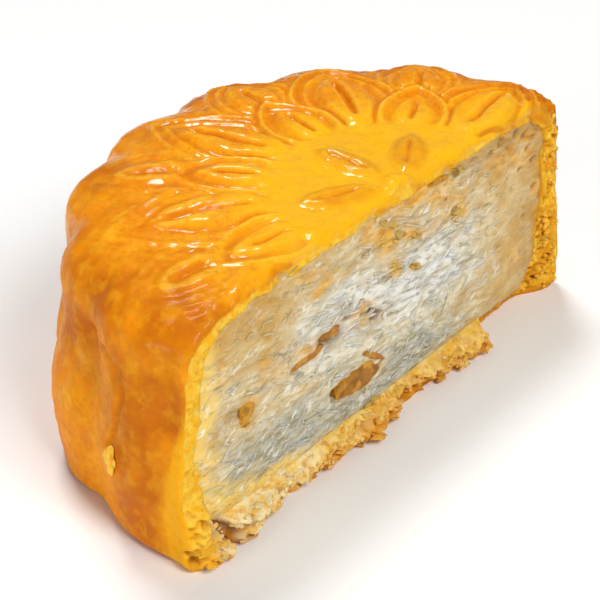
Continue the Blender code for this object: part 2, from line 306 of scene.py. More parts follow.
class Shell:
    """A half-turned surface over a flat floor: vertices, triangles, and the loop where the cut opens it."""

    def __init__(self, points, columns, place, cut_spacing):
        """place(radius, height, out, up, angle) makes the vertices of every row at once, where out and up
        are the direction away from the section. cut_spacing is the step along the cut's edge on the floor.
        """
        normals = section_normals(points)
        rows, radius, height, out, up, angle = [], [], [], [], [], []
        for (r, z), (nr, nz), count in zip(points, normals, columns):
            turns = np.linspace(0, math.pi, count + 1) if count else np.array([math.pi / 2])
            first = sum(len(row) for row in rows)
            rows.append(list(range(first, first + len(turns))))
            for values, value in ((radius, r), (height, z), (out, nr), (up, nz)):
                values.append(np.full(len(turns), value))
            angle.append(turns)
        flat = [np.concatenate(values) for values in (radius, height, out, up, angle)]
        self.vertices, self.faces = [tuple(v) for v in place(*flat)], []
        for upper, lower in zip(rows, rows[1:]):
            self.stitch(upper, lower)
        edge = rows[-1]
        right, left = self.vertices[edge[0]], self.vertices[edge[-1]]
        count = round((right[0] - left[0]) / cut_spacing)
        cut_line = self.added(np.linspace(right, left, count + 1)[1:-1])
        ring = np.array([self.vertices[i] for i in edge + cut_line[::-1]])
        extra, triangles = tiled([ring[:, :2]], UNDERSIDE_SPACING, UNDERSIDE_MARGIN)
        numbers = edge + cut_line[::-1]
        numbers += self.added([(x, y, right[2]) for x, y in extra])
        self.faces += [tuple(numbers[i] for i in triangle[::-1]) for triangle in triangles]
        self.loop = [row[0] for row in rows] + cut_line + [row[-1] for row in rows[:0:-1]]

    def added(self, points):
        """Adds vertices and gives their numbers."""
        first = len(self.vertices)
        self.vertices += [tuple(point) for point in points]
        return list(range(first, len(self.vertices)))

    def stitch(self, upper, lower):
        """Joins two rows, where one may be a single pole or may have half the other's columns."""
        long, short = (upper, lower) if len(upper) >= len(lower) else (lower, upper)
        faces = []
        if len(short) == 1:
            faces = [(a, b, short[0]) for a, b in zip(long, long[1:])]
        elif len(short) == len(long):
            for a, b, c, d in zip(long, long[1:], short, short[1:]):
                faces += [(a, b, c), (b, d, c)]
        else:
            for i, (c, d) in enumerate(zip(short, short[1:])):
                a, b, e = long[2 * i : 2 * i + 3]
                faces += [(a, b, c), (b, d, c), (b, e, d)]
        self.faces += faces if long is lower else [face[::-1] for face in faces]


def pattern_spot(radius, angle):
    """Where on the pattern a point of the top lies, with the baked dough's slight creep."""
    spots = points_of(radius * np.cos(angle), radius * np.sin(angle), np.zeros_like(radius))
    shifted = spots[:, :2] + 0.45 * points_of(grain(spots, 11, 3), grain(spots, 11, 4))
    shifted += 0.15 * points_of(grain(spots, 3.5, 5), grain(spots, 3.5, 6))
    return np.hypot(shifted[:, 0], shifted[:, 1]), np.arctan2(shifted[:, 1], shifted[:, 0])


def softened(radius, angle, reach):
    """The pattern's height, averaged over a ring of this reach round each point."""
    x, y = radius * np.cos(angle), radius * np.sin(angle)
    total = np.zeros_like(radius)
    for turn in np.linspace(0, 2 * math.pi, 8, endpoint=False):
        beside_x, beside_y = x + reach * math.cos(turn), y + reach * math.sin(turn)
        total += relief(*pattern_spot(np.hypot(beside_x, beside_y), np.arctan2(beside_y, beside_x))) / 8
    return total


def melted(radius, angle):
    """1 where the baking has blurred the pattern, on the left shoulder."""
    return ramp(math.radians(92), math.radians(122), angle) * ramp(0.50, 0.66, radius / RADIUS)


def worn_corner(radius, angle, height):
    """1 on the crumbled end of the top, beside the cut on the right."""
    near = ramp(math.radians(11), math.radians(3), angle) * ramp(0.66, 0.76, radius / RADIUS)
    return near * ramp(18, 24, height)


def crease(angle, height, route, width):
    """A fold in the wall along a route of (degrees round, height) points."""
    spots = points_of(angle * RADIUS, height)
    nearest = np.full(len(spots), np.inf)
    for (a_turn, a_height), (b_turn, b_height) in zip(route, route[1:]):
        a = np.array([math.radians(a_turn) * RADIUS, a_height])
        b = np.array([math.radians(b_turn) * RADIUS, b_height])
        along = np.clip((spots - a) @ (b - a) / ((b - a) @ (b - a)), 0, 1)
        nearest = np.minimum(nearest, np.linalg.norm(spots - a - along[:, None] * (b - a), axis=1))
    return np.exp(-((nearest / width) ** 2))


WALL_FOLDS = (
    # depth, width, and the route as degrees round and height
    (0.80, 0.36, ((148, 21.5), (157, 23), (163.5, 23.6), (167.2, 22.4), (168, 19.7), (166.5, 15.4),
                  (164.3, 12))),
    (0.20, 0.50, ((154, 22.5), (150.2, 16.8), (144, 9))),
    (0.18, 0.55, ((157, 21.0), (154.5, 15), (150, 8))),
    (0.22, 0.8, ((118, 22), (119.5, 15), (117.4, 7))),
    (0.20, 0.8, ((64, 21), (66.5, 14), (63.6, 6))),
    (0.20, 0.8, ((41, 20), (39, 12), (41, 7))),
)


def outer_place(radius, height, out, up, angle):
    """Vertices of the crust's outside."""
    to_rim = ramp(0.62, 1.0, radius / RADIUS)
    off_base = ramp(-1, 6, height)
    notch = (1 - lobe(angle)) * to_rim * (0.55 + 0.45 * off_base)
    slumped = ramp(SLUMP_FROM, SLUMP_FROM + 0.5, angle) * ramp(SLUMP_TO, SLUMP_TO - 0.2, angle)
    slumped = slumped * to_rim * ramp(22, 8, height)
    top_share = ramp(HEIGHT - SHOULDER_DROP, HEIGHT - 0.35 * SHOULDER_DROP, height)
    spots = points_of(radius * np.cos(angle), radius * np.sin(angle), height)
    melt = 0.86 + 0.25 * grain(spots, 13, 11)
    blur = 0.20 + 0.50 * melted(radius, angle)
    pattern = (1 - blur) * relief(*pattern_spot(radius, angle))
    pattern += blur * (0.5 * softened(radius, angle, 0.5) + 0.5 * softened(radius, angle, 1.1))
    raised = pattern * top_share * melt * (1 - 0.1 * melted(radius, angle))
    on_wall = ramp(24, 20, height) * ramp(1.0, 3.5, height)
    raised += 0.26 * layered(spots, 8, 21, 3) * ramp(0.6, 1.5, height)
    raised += 0.065 * layered(spots, 1.8, 31, 2) * (1 + 0.5 * top_share)
    raised += 0.14 * on_wall * grain(spots, (2.2, 2.2, 9), 41)
    crumbled = np.abs(grain(spots, 2.2, 43)) + 0.6 * np.abs(grain(spots, 1.0, 44))
    raised += (0.25 - 1.3 * crumbled) * worn_corner(radius, angle, height)
    for depth, width, route in WALL_FOLDS:
        raised -= depth * crease(angle, height, route, width)
    beside_cut = np.clip(1 - radius * np.sin(angle) / 1.7, 0, 1)
    rounding = 0.35 + 0.75 * ramp(HEIGHT - SHOULDER_DROP, HEIGHT - 3, height)
    raised -= rounding * (1 - np.sqrt(1 - 0.96 * beside_cut**2)) * ramp(1, 4, height)
    level = (height > 0.02).astype(float)
    leaning = ramp(LEAN_TO, 0, angle) * to_rim * ramp(3, 18, height)
    reach = radius - LOBE_DEPTH * notch + SLUMP * slumped - LEAN * leaning + raised * out * level
    return points_of(reach * np.cos(angle), reach * np.sin(angle), height + raised * up * level)


def inner_place(radius, height, out, up, angle):
    """Vertices of the crust's inside or of the filling's outside, which follow the scallops faintly."""
    to_side = ramp(0.7, 1.0, radius / (RADIUS - WALL_CRUST))
    notch = (1 - lobe(angle)) * to_side
    thicker = ramp(math.radians(40), 0, angle) * to_side
    reach = radius - 0.35 * LOBE_DEPTH * notch - RIGHT_CRUST * thicker
    x, y = reach * np.cos(angle), reach * np.sin(angle)
    at_cut = ramp(1.5, 0, y)
    spots = points_of(x, 0 * x, height)
    x = x + at_cut * to_side * (0.6 * grain(spots, 2.4, 91) + 0.35 * grain(spots, 1.1, 92))
    ragged = 0.45 * grain(spots, 3.2, 93) + 0.28 * grain(spots, 1.3, 94)
    height = height + at_cut * ragged * ramp(26, 28, height)
    return points_of(x, y, height)


def outside_shell():
    """The crust's outside, with fewer columns towards the top's middle."""
    counts = (50, 76, 32, 36, 6)
    outline = section(RADIUS, HEIGHT, SHOULDER_DROP, SHOULDER_POWER, WALL_BULGE, 0, BASE_EDGE, counts)
    columns = [0] + [RIM_COLUMNS // 8] * 12 + [RIM_COLUMNS // 4] * 13 + [RIM_COLUMNS // 2] * 25
    columns += [RIM_COLUMNS] * (len(outline) - len(columns))
    return Shell(outline, columns, outer_place, 0.35)


def lining_shell(gap):
    """The surface between crust and filling, this far inside the crust's own."""
    counts = (18, 24, 16, 30, 14)
    outline = section(
        RADIUS - WALL_CRUST - gap,
        HEIGHT - TOP_CRUST - gap,
        SHOULDER_DROP - 1.5,
        FILLING_POWER,
        WALL_BULGE,
        BASE_CRUST + gap,
        FILLING_EDGE,
        counts,
    )
    columns = [0] + [LINING_COLUMNS // 2] * 4 + [LINING_COLUMNS] * (len(outline) - 5)
    return Shell(outline, columns, inner_place, 0.6)


def chipped_at(x):
    """1 where the base's crust is broken away, near its right end."""
    return ramp(17, 21, x) * ramp(36, 30, x)


def crumb_band(x, z):
    """1 in the torn crumb of the base and of its corners, and 0 above it."""
    top = BASE_CRUST + 4 * ramp(20, 33, np.abs(x))
    return ramp(top + 1.2, top - 1.0, z)


def corner_hole(x, z):
    """1 in the hollows of the base's left corner, which are painted dark brown as shade."""
    along, beside = 0.5 * (x + 32.0) - 0.87 * (z - 3.0), 0.87 * (x + 32.0) + 0.5 * (z - 3.0)
    edge = ((x + 36.0 + 0.4 * z) / 0.7) ** 2 + ((z - 3.2) / 2.6) ** 2
    notch = (0.30 + 0.5 * lumps(x, z, 1.1, 6.3)) * np.exp(-edge)
    return np.maximum(np.exp(-(((along / 2.4) ** 2 + (beside / 1.0) ** 2) ** 1.5)), notch)


def crust_offset(x, z, depth):
    """How far the crust's cut surface stands out of (below 0) or back from the cut plane.

    depth is 0 at the crust's outside and 1 at the filling.
    """
    middle = np.sin(math.pi * depth)
    crumb = 0.35 * lumps(x, z, 1.9, 3.1) * (0.4 + middle)
    base, chipped = crumb_band(x, z), chipped_at(x)
    flakes = np.maximum(0, 0.5 + lumps(0.7 * x, 0 * z, 4.5, 8.4))
    flakes += np.maximum(0, lumps(0.5 * x, z, 2.4, 5.7))
    flakes *= base * (1 - chipped) * (1.6 - 1.1 * ramp(24, 30, x)) * (0.35 + 0.65 * middle)
    return crumb - flakes + base * chipped * 2.4 + 2.2 * corner_hole(x, z)


def crumbly(x, z):
    """How torn and porous the crust's cut surface is: most at the base and the right wall, least on top."""
    right = ramp(27, 31, x) * (0.75 + 0.25 * ramp(20, 8, z))
    left = ramp(-31, -34, x) * (0.12 + 0.45 * ramp(8, 4.5, z))
    base = crumb_band(x, z) * (1 - 0.5 * ramp(-32.5, -35, x))
    return np.maximum.reduce([base, right, left, 0.10 + 0 * x])


def torn_detail(x, z, depth):
    """(the crumb's finer pits and grains on top of crust_offset, how far into a hollow each point lies, for
    painted shade).
    """
    spots = points_of(x, 0 * x, z)
    large = ramp(0.02, 0.42, grain(spots, (2.3, 1, 1.2), 51)) * (1 - 0.6 * ramp(26, 30, x))
    small = ramp(0.14, 0.46, grain(spots, (1.0, 1, 0.6), 55))
    grains = 0.55 * np.abs(grain(spots, (1.3, 1, 0.9), 52)) + 0.2 * grain(spots, 0.5, 53)
    sheets = 0.45 * np.abs(grain(spots, (3.2, 1, 0.75), 54)) * crumb_band(x, z) * ramp(31, 26, x)
    forward = 0.35 * ramp(27, 31, x) + 0.25 * crumb_band(x, z)
    shelf = 1 - 0.65 * crumb_band(x, z) * ramp(0.35, 0.75, depth) * ramp(33, 27, np.abs(x))
    edges = ramp(0, 0.15 + 0.25 * ramp(27, 31, x), depth) * ramp(1.0, 0.9, depth)
    strength = crumbly(x, z) * shelf
    pits = 1.4 * large + 0.8 * small * (1 - large)
    # Painted shade: how far into the crumb's hollows each point lies, which darkens its colour.
    hollow = np.clip(0.8 * large + 0.9 * small, 0, 1) * strength * edges
    hollow = np.maximum(hollow, corner_hole(x, z))
    return ((pits - grains - sheets) * strength - forward) * edges, hollow


def crust_piece():
    """(vertices, triangles, values for each vertex) of the crust, and its torn surface's own points."""
    outside, lining = outside_shell(), lining_shell(0)
    shift = len(outside.vertices)
    vertices = outside.vertices + lining.vertices
    faces = outside.faces + [tuple(shift + i for i in face[::-1]) for face in lining.faces]
    numbers = outside.loop + [shift + i for i in lining.loop]
    spots = np.array([(vertices[i][0], vertices[i][2]) for i in numbers])
    rings = [spots[: len(outside.loop)], spots[len(outside.loop) :]]
    extra, triangles = tiled(rings, 0.22, 0.12)
    numbers += range(len(vertices), len(vertices) + len(extra))
    vertices = np.concatenate([vertices, points_of(extra[:, 0], 0 * extra[:, 0], extra[:, 1])])
    spots = np.concatenate([spots, extra])
    x, z = spots[:, 0], spots[:, 1]
    to_outside, to_lining = distance_to(spots, rings[0]), distance_to(spots, rings[1])
    depth = to_outside / (to_outside + to_lining)
    fine, hollow = torn_detail(x, z, depth)
    vertices[numbers, 1] += crust_offset(x, z, depth) + fine
    faces = np.concatenate([np.array(faces), np.array(numbers)[triangles]])
    values = {name: np.zeros(len(vertices)) for name in ("torn", "pit_shade")}
    values["torn"][numbers] = ramp(0.0, 0.35, to_outside)
    values["torn"][shift : shift + len(lining.vertices)] = 1
    # Painted shade in the torn crumb's pits and hollows.
    values["pit_shade"][numbers] = hollow
    crust_values(vertices, values)
    return (vertices, faces, values), vertices[numbers]


def low_brown(z):
    """How browned the crumb is towards the cake's underside."""
    return ramp(1.3, 0.3, z)


def creamy(x, z):
    """How pale the torn crumb is: most in the base's left corner."""
    low = ramp(5.5, 3.5, z - 3.5 * ramp(-24, -34, x)) * ramp(-35.4, -33.2, x)
    return low * (0.35 + 0.65 * ramp(-10, -22, x)) * ramp(26, 18, x)


def crust_values(vertices, values):
    """Where the crust is browned, yellow or glazed, and where the pattern's grooves are."""
    x, y, z = vertices.T
    radius, angle = np.hypot(x, y), np.arctan2(np.maximum(y, 0), x)
    turn = np.degrees(angle)
    on_top = ramp(HEIGHT - 0.9 * SHOULDER_DROP, HEIGHT - 0.4 * SHOULDER_DROP, z)
    melt = melted(radius, angle)
    # Painted shade and highlight: the value below is above 0 in the pattern's grooves and below 0 on its
    # crests.
    near, wide = softened(radius, angle, 0.6), softened(radius, angle, 1.6)
    hollow = (near - relief(*pattern_spot(radius, angle))) * (1 - melt) + (wide - near) * melt
    values["relief_shading"] = np.clip(hollow / 0.35, -1, 1) * on_top
    share = radius / RADIUS
    patches = layered(vertices, 9, 61, 3)
    shoulder = ramp(0.66, 0.93, share) * ramp(13, 19, z)
    brown = shoulder * (0.55 + 0.85 * patches)
    near_cut = ramp(163, 169, turn) * ramp(26, 22, z)
    ends = np.maximum(ramp(14, 4, z), 1.2 * ramp(17, 21, z))
    brown += near_cut * (0.70 + 0.4 * patches + 0.3 * ends)
    right_end = ramp(14, 5, turn) * ramp(0.90, 0.95, share) * ramp(15, 20, z)
    brown += right_end * (0.5 + 0.5 * patches)
    brown += ramp(32, 12, turn) * ramp(0.78, 0.90, share) * on_top * (0.35 + 0.6 * patches)
    brown += ramp(0.86, 0.97, share) * ramp(120, 95, turn) * on_top * (0.55 + 0.4 * patches)
    brown += 0.42 * ramp(0, 0.9, blossom_petal(radius, angle)[0]) * on_top
    worn = worn_corner(radius, angle, z)
    brown += worn * (0.35 + 1.4 * np.abs(grain(vertices, 2.2, 43)))
    brown += ramp(0.99, 1.02, share) * ramp(20, 14, z) * (0.22 + 0.45 * patches)
    brown += ramp(5, 0.5, z) * 0.35
    reach = 1.0 + 3.2 * ramp(20, 6, z)
    strip = ramp(1.0, 0.45, y / reach) * ramp(-30, -34, x) * ramp(24, 17, z)
    values["brown"] = np.clip(brown * (1 - 0.85 * strip), 0, 1)
    disc = ramp(0.64, 0.38, share)
    edge = ramp(11, 1, y) * ramp(-32, -16, x) * ramp(0.98, 0.84, share)
    values["yellow"] = np.clip(np.maximum(disc, edge) * on_top + 0.8 * strip + 0.12 * patches, 0, 1)
    matt = ramp(0.60, 0.82, share) * ramp(110, 150, turn)
    values["glaze"] = np.clip(0.04 + 0.96 * on_top * (1 - 0.85 * matt) * (1 - 0.85 * worn), 0, 1)
    values["cream"] = creamy(x, z)
    under = ramp(2.3, 0.8, z + 1.2 * patches)
    corner = ramp(18, 25, x) * ramp(26.5, 28.0, z) * ramp(-0.4, 0.2, patches + 0.15)
    grainy = ramp(27, 31, x) * ramp(-0.15, 0.35, layered(vertices, 1.7, 67, 2))
    dabs = sum(bump(x, place, 1.2) for place in (-4.0, 2.9, 9.3)) * ramp(28.6, 29.4, z)
    values["under"] = np.maximum.reduce([under, corner, 0.75 * grainy, 0.9 * dabs])


# Filling


CANDIED = (
    # x, z, length, width, tilt in degrees, kind
    (-26.8, 15, 4.8, 2.5, 76, 0),
    (-17.3, 17, 6.6, 1.6, -3, 1),
    (-12.4, 17.4, 6.2, 1.8, -9, 1),
    (-7.2, 8.6, 9.8, 3.5, -6, 1),
    (-4.6, 10.6, 6, 1.2, -37, 1),
    (7, 28.5, 4.4, 1, -8, 0),
    (-3.3, 27.6, 1.9, 0.8, -20, 2),
    (-1.6, 26.6, 2.1, 0.8, -35, 2),
    (-0.4, 25, 2.2, 0.9, -30, 2),
    (1.7, 24.2, 2, 0.8, -42, 2),
    (3.2, 23.1, 1.7, 0.7, -25, 2),
    (11.4, 22.8, 2.6, 1.2, -16, 2),
    (3.4, 18.9, 2.2, 0.8, -30, 2),
    (-4.2, 3.4, 4, 1.5, -6, 2),
    (11, 28.2, 3.4, 1, -14, 2),
)
SMEARS = (
    # x, z, length, width, tilt in degrees, strength of ochre
    (-4, 26, 7.5, 3.2, -38, 0.95),
    (1.6, 24.3, 4.5, 1.8, -30, 0.8),
    (-1.3, 21, 6.5, 2.4, -36, 0.55),
    (3, 18.9, 3, 1.2, -30, 0.6),
    (-18, 27.6, 6, 1.6, -16, 0.7),
    (-14.2, 24.6, 4, 1.2, 5, 0.6),
    (-27, 28, 5.5, 1.8, 0, 0.4),
    (-24.5, 20.4, 1.6, 3.5, 0, 0.45),
    (-26.6, 14.6, 2.2, 4.4, 0, 0.7),
    (-16, 17.6, 11, 2.8, -6, 0.6),
    (-6.7, 8.6, 9, 3.8, -8, 0.6),
    (-17, 12.8, 4.5, 2, -6, 0.35),
    (4.6, 28, 12, 2.4, -6, 0.8),
    (8, 24.5, 9, 3, -28, 0.5),
    (-5.8, 17.2, 8, 3.4, -20, 0.45),
    (12, 22.8, 3.6, 2.2, -12, 0.55),
    (15, 28, 9, 2.2, -4, 0.5),
    (30.3, 17, 3.4, 22, 0, 0.75),
    (24, 27, 16, 5.6, -3, 0.9),
    (9, 25.9, 8, 2.8, -20, 0.7),
    (27, 24.5, 8, 4.6, -20, 0.6),
    (26, 10, 4, 6, 0, 0.35),
    (-31, 23, 2, 6, 0, 0.4),
)
HOLES = (
    # x, z, size, depth
    (-6, 17.3, 1, 0.6), (-3.7, 15.5, 1.1, 0.55), (-7.3, 19, 0.9, 0.5), (-9.5, 18.2, 0.7, 0.45),
    (-4.8, 16.6, 0.7, 0.45), (-2.2, 16.9, 0.7, 0.35), (-8.2, 16.2, 0.6, 0.4), (-11.2, 8.9, 1.1, 0.5),
    (25.5, 22.5, 0.45, 0.4), (24, 20.2, 0.4, 0.3), (27.2, 24.5, 0.5, 0.3), (14.6, 28, 0.6, 0.4),
    (18.2, 27.4, 0.6, 0.45), (20.6, 28.1, 0.7, 0.5), (22.4, 26.6, 0.5, 0.4), (24.2, 27.8, 0.7, 0.5),
    (26.3, 26.9, 0.6, 0.45), (28.1, 25.8, 0.5, 0.45), (28.9, 22.4, 0.5, 0.4), (29.3, 18.6, 0.5, 0.35),
    (27.6, 14.6, 0.45, 0.35), (-12, 16.8, 2.2, 0.35), (-19, 16.6, 1.2, 0.3),
)


def in_ellipse(x, z, middle_x, middle_z, length, width, tilt):
    """Places along and beside a tilted ellipse's length, where 1 is at its edge."""
    c, s = math.cos(math.radians(tilt)), math.sin(math.radians(tilt))
    along = (c * (x - middle_x) + s * (z - middle_z)) / (0.5 * length)
    return along, (c * (z - middle_z) - s * (x - middle_x)) / (0.5 * width)


def filling_offset(x, z, to_edge):
    """How far the filling's cut face stands out of (below 0) or back from the cut plane."""
    coarse, fine = lumps(x, 1.8 * z, 6, 1.7), lumps(x, 1.6 * z, 2.4, 6.3)
    spots = points_of(x - 0.15 * z, 0 * x, z + 0.12 * x)
    fibres = grain(spots, (3.6, 1, 0.55), 71) + 0.6 * grain(spots, (1.6, 1, 0.36), 72)
    rough = 0.35 + 0.65 * ramp(22, 8, x)
    offset = 0.30 * coarse + 0.22 * fine - 0.13 * fibres * rough
    offset += 0.09 * grain(spots, (0.8, 1, 0.4), 73) * rough
    for hole_x, hole_z, size, depth in HOLES:
        away = np.hypot((x - hole_x) / size, (z - hole_z) / (0.6 * size))
        offset += 2.4 * depth * np.exp(-(away**2))
    inner = ramp(0, 1.6, to_edge)
    return (offset - 0.05) * (0.35 + 0.65 * inner) + 0.25 * (1 - inner)


def filling_piece():
    """(vertices, triangles, values for each vertex) of the filling."""
    plug = lining_shell(-0.3)
    numbers = list(plug.loop)
    ring = np.array([(plug.vertices[i][0], plug.vertices[i][2]) for i in numbers])
    extra, triangles = tiled([ring], 0.27, 0.2)
    numbers += range(len(plug.vertices), len(plug.vertices) + len(extra))
    vertices = np.concatenate([plug.vertices, points_of(extra[:, 0], 0 * extra[:, 0], extra[:, 1])])
    x, z = vertices[numbers, 0], vertices[numbers, 2]
    offset = filling_offset(x, z, distance_to(points_of(x, z), ring))
    vertices[numbers, 1] += offset
    faces = np.concatenate([np.array(plug.faces), np.array(numbers)[triangles]])
    values = {"hole_shade_and_edge_brown": np.zeros(len(vertices))}
    # Darker brown towards the right edge and along the top right.
    shade = 0.34 * ramp(24.5, 30.5, x) + 0.50 * ramp(8, 16, x) * ramp(24.5, 28.4, z)
    # Painted shade: the face's holes and hollows turn dark brown, besides the darker brown near the edge.
    values["hole_shade_and_edge_brown"][numbers] = np.maximum(ramp(0.1, 0.9, offset), shade)
    values.update(filling_zones(vertices[:, 0], vertices[:, 2]))
    return vertices, faces, values


def filling_zones(x, z):
    """How much of each tint the filling has at a place of its face."""
    spots = points_of(x, 0 * x, z)
    drift, mottle = layered(spots, (9, 1, 5), 81, 3), layered(spots, (3.4, 1, 1.5), 85, 3)
    band = z - (17.5 - 0.12 * x)
    white = np.exp(-((band / 5.5) ** 2)) * ramp(-30, -8, x) * ramp(22, 10, x)
    tan = 1.15 * ramp(10, 26, x + 3 * drift) + 0.65 * ramp(18, 27, z + 2 * drift)
    tan += 0.55 * ramp(-12, -30, x) * ramp(7, 14, z)
    # Painted shade: a darker, cooler grey over the pale paste low in the filling's middle.
    cool_shade = ramp(13, 7, z + 0.06 * x + 1.5 * drift) * ramp(-33, -26, x) * ramp(20, 6, x)
    gold = ramp(-31, -34.5, x + 1.2 * drift) + ramp(9.0, 6.5, z + 0.27 * (x + 30) + mottle)
    gold *= ramp(-10, -18, x)
    ochre = np.zeros(len(x))
    for smear_x, smear_z, length, width, tilt, strength in SMEARS:
        along, beside = in_ellipse(x, z, smear_x, smear_z, length, width, tilt)
        ochre = np.maximum(ochre, strength * np.exp(-((along**2 + beside**2) ** 1.2)))
    return {
        "tan": np.clip(tan + 0.35 * mottle + 0.2 * drift, 0, 1),
        "white": np.clip(white + 0.35 * mottle, 0, 1),
        "cool_shade": np.clip(cool_shade + 0.25 * mottle * ramp(0.1, 0.5, cool_shade), 0, 1),
        "gold": np.clip(gold, 0, 1),
        "ochre": np.clip(ochre * (1.35 + 1.3 * mottle), 0, 1),
    }


def turned(vertices, degrees):
    """Vertices turned in the cut plane."""
    c, s = math.cos(math.radians(degrees)), math.sin(math.radians(degrees))
    x, y, z = vertices.T
    return points_of(c * x - s * z, y, s * x + c * z)


def joined(parts):
    """One (vertices, triangles) from several, and the number of vertices of each."""
    counts = [len(v) for v, _ in parts]
    starts = np.concatenate([[0], np.cumsum(counts)[:-1]])
    vertices = np.concatenate([v for v, _ in parts])
    faces = np.concatenate([f + start for (_, f), start in zip(parts, starts)])
    return vertices, faces, counts


def shred(direction, length, width, thickness, bend):
    """(vertices, triangles) of one thin tapered shred, tilted in the cut plane by degrees.

    bend is how far its middle bows aside.
    """
    rings, sides = SHRED_RINGS, SHRED_SIDES
    along = np.repeat(np.linspace(-0.5, 0.5, rings), sides)
    turn = np.tile(np.linspace(0, 2 * math.pi, sides, endpoint=False), rings)
    taper = np.sqrt(np.clip(1 - (1.9 * along) ** 4, 0.05, 1))
    aside = bend * (1 - 4 * along**2) + np.cos(turn) * taper * width / 2
    vertices = points_of(along * length, np.sin(turn) * taper * thickness / 2, aside)
    faces = []
    for ring in range(rings - 1):
        for side in range(sides):
            a, b = ring * sides + side, ring * sides + (side + 1) % sides
            faces += [(a, b, a + sides), (b, b + sides, a + sides)]
    last = (rings - 1) * sides
    faces += [(0, side + 1, side) for side in range(1, sides - 1)]
    faces += [(last, last + side, last + side + 1) for side in range(1, sides - 1)]
    return turned(vertices, direction), np.array(faces)


def shred_piece(count=700):
    """Shreds of coconut that lie in the filling's cut face and show at it."""
    draw = np.random.default_rng(23)
    tries = 4 * count
    x, z = draw.uniform(-34.0, 30.0, tries), draw.uniform(4.6, 28.3, tries)
    zones = filling_zones(x, z)
    wanted = 0.25 + 0.75 * zones["white"] + 0.25 * zones["cool_shade"] - 0.35 * ramp(14, 26, x)
    off_edges = (np.abs(x + 2) / 32.5) ** 6 + (np.abs(z - 16.4) / 12.4) ** 6 < 0.9
    for bit_x, bit_z, length, width, tilt, _ in CANDIED:
        along, beside = in_ellipse(x, z, bit_x, bit_z, length, width, tilt)
        wanted = wanted * (along**2 + beside**2 > 1.1)
    keep = np.flatnonzero((draw.uniform(0, 1, tries) < wanted) & off_edges)[:count]
    x, z = x[keep], z[keep]
    number = len(keep)
    lengths = np.clip(draw.lognormal(0.8, 0.4, number), 1.0, 4.2)
    widths = draw.uniform(0.22, 0.48, number)
    thick = draw.uniform(0.14, 0.20, number)
    chance = draw.uniform(size=number)
    lengthwise, crossing = draw.normal(-9, 11, number), draw.normal(30, 20, number)
    directions = np.where(chance < 0.8, lengthwise, crossing)
    to_edge = np.minimum.reduce([x + 35, 31 - x, 28.8 - z, z - 3.9])
    y = filling_offset(x, z, to_edge) + draw.uniform(-0.02, 0.07, number)
    bends = draw.normal(0, 0.12, number)
    parts = []
    for centre, *shape in zip(points_of(x, y, z), directions, lengths, widths, thick, bends):
        vertices, faces = shred(*shape)
        parts.append((vertices + centre, faces))
    vertices, faces, counts = joined(parts)
    shade = np.repeat(draw.uniform(0, 1, number), counts)
    return vertices, faces, {"shade": shade, **filling_zones(vertices[:, 0], vertices[:, 2])}


@functools.cache
def ball(detail):
    """(vertices, triangles) of a ball of radius 1."""
    made = bmesh.new()
    bmesh.ops.create_icosphere(made, subdivisions=detail, radius=1)
    vertices = np.array([v.co[:] for v in made.verts])
    faces = np.array([[v.index for v in f.verts] for f in made.faces])
    made.free()
    return vertices, faces


def lump_mesh(draw, size, detail=3, roughness=0.3):
    """(vertices, triangles) of one irregular lump of this size, round its own middle."""
    vertices, faces = ball(detail)
    seed = int(draw.integers(1, 900))
    vertices = vertices * (1 + roughness * layered(vertices, 0.9, seed, 3))[:, None]
    return vertices * np.array(size) / 2, faces


def candied_piece():
    """The candied bits that show in the filling."""
    draw = np.random.default_rng(31)
    parts, kinds = [], []
    for x, z, length, width, tilt, kind in CANDIED:
        vertices, faces = lump_mesh(draw, (length, 2, width), 4, 0.45 if kind == 2 else 0.25)
        vertices[:, 1] = 0.65 * np.sign(vertices[:, 1]) * np.abs(vertices[:, 1]) ** 0.5
        vertices = turned(vertices, tilt)
        offset = filling_offset(np.array([x]), np.array([z]), np.array([5.0]))[0]
        parts.append((vertices + np.array([x, offset + 0.36, z]), faces))
        kinds.append(kind / 3)
    vertices, faces, counts = joined(parts)
    return vertices, faces, {"kind": np.repeat(kinds, counts)}


def clinging(parts, shades):
    """One piece from its parts, with a shade for each, and with the crust's own tints."""
    vertices, faces, counts = joined(parts)
    vertices[:, 2] = np.maximum(vertices[:, 2], FLOOR_GAP)
    x, _, z = vertices.T
    values = {"shade": np.repeat(shades, counts), "cream": creamy(x, z), "under": low_brown(z)}
    return vertices, faces, values


# The large crumb stuck to the left wall. Its middle stands STUCK_OUT out of the plain wall.
STUCK_TURN = math.radians(165.6)
STUCK_OUT = 1.0
STUCK_HEIGHT = 10.8
STUCK_SIZE = (1.6, 0.8, 2.8)
STUCK_SHADE = 0.8


def stuck_crumb():
    """(vertices, triangles) of the crumb on the left wall."""
    vertices, faces = lump_mesh(np.random.default_rng(8), STUCK_SIZE, 4, 0.6)
    c, s = math.cos(STUCK_TURN), math.sin(STUCK_TURN)
    across, away, up = vertices.T
    vertices = points_of(-s * across, c * across, up) + away[:, None] * np.array([c, s, 0])
    reach = RADIUS + STUCK_OUT
    return vertices + np.array([reach * c, reach * s, STUCK_HEIGHT]), faces


def crumb_piece(torn, count=200):
    """Small crumbs that cling to the torn surface, whose points are given, and the one on the wall."""
    draw = np.random.default_rng(47)
    x, y, z = torn.T
    weight = ramp(-2.9, -2.6, y) * crumbly(x, z) ** 3 * ramp(0.4, 0.9, z)
    weight = weight * (1 - chipped_at(x) * ramp(6, 4, z)) * ramp(37.2, 36.0, np.abs(x))
    chosen = draw.choice(len(torn), count, replace=False, p=weight / weight.sum())
    parts, shades = [], []
    for spot in torn[chosen]:
        size = draw.uniform(0.25, 0.7)
        vertices, faces = lump_mesh(draw, (size * 1.4, size * 0.9, size * 0.8), 2, 0.5)
        parts.append((turned(vertices, draw.uniform(-60, 60)) + spot - np.array([0, 0.15 * size, 0]), faces))
        shades.append(draw.uniform())
    return clinging([*parts, stuck_crumb()], [*shades, STUCK_SHADE])


